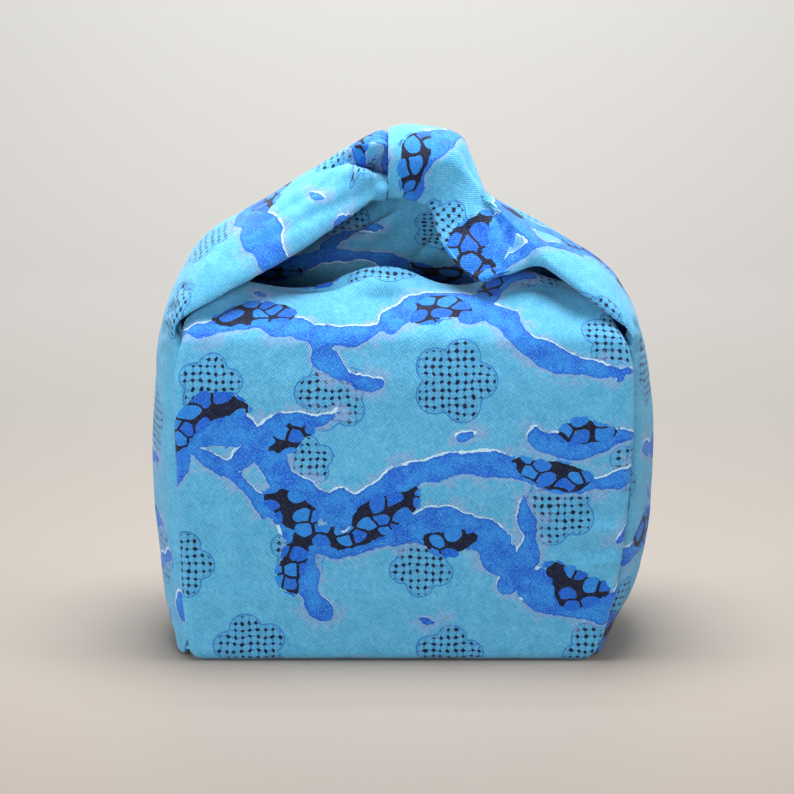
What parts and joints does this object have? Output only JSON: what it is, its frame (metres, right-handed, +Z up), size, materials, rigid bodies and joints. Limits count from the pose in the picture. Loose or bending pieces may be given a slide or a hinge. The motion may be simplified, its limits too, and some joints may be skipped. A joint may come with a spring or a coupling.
{
  "type": "knotted cloth bag",
  "caption": "Boxy soft cotton bag with a rolled front flap, closed at the top by one side strap that runs into the loop of the other.",
  "frame": {"origin": "on the surface that the bag stands on, under the middle of its outline", "axes": "+Z up, -Y towards the front flap, +X towards the strap with the loop"},
  "size_m": [0.2223, 0.1278, 0.2293],
  "materials": {
    "printed_cotton": "matt printed cotton with a fine weave"
  },
  "bodies": {
    "root": {"body_strip": "printed_cotton", "left_side": "printed_cotton", "right_side": "printed_cotton"}
  },
  "joints": []
}
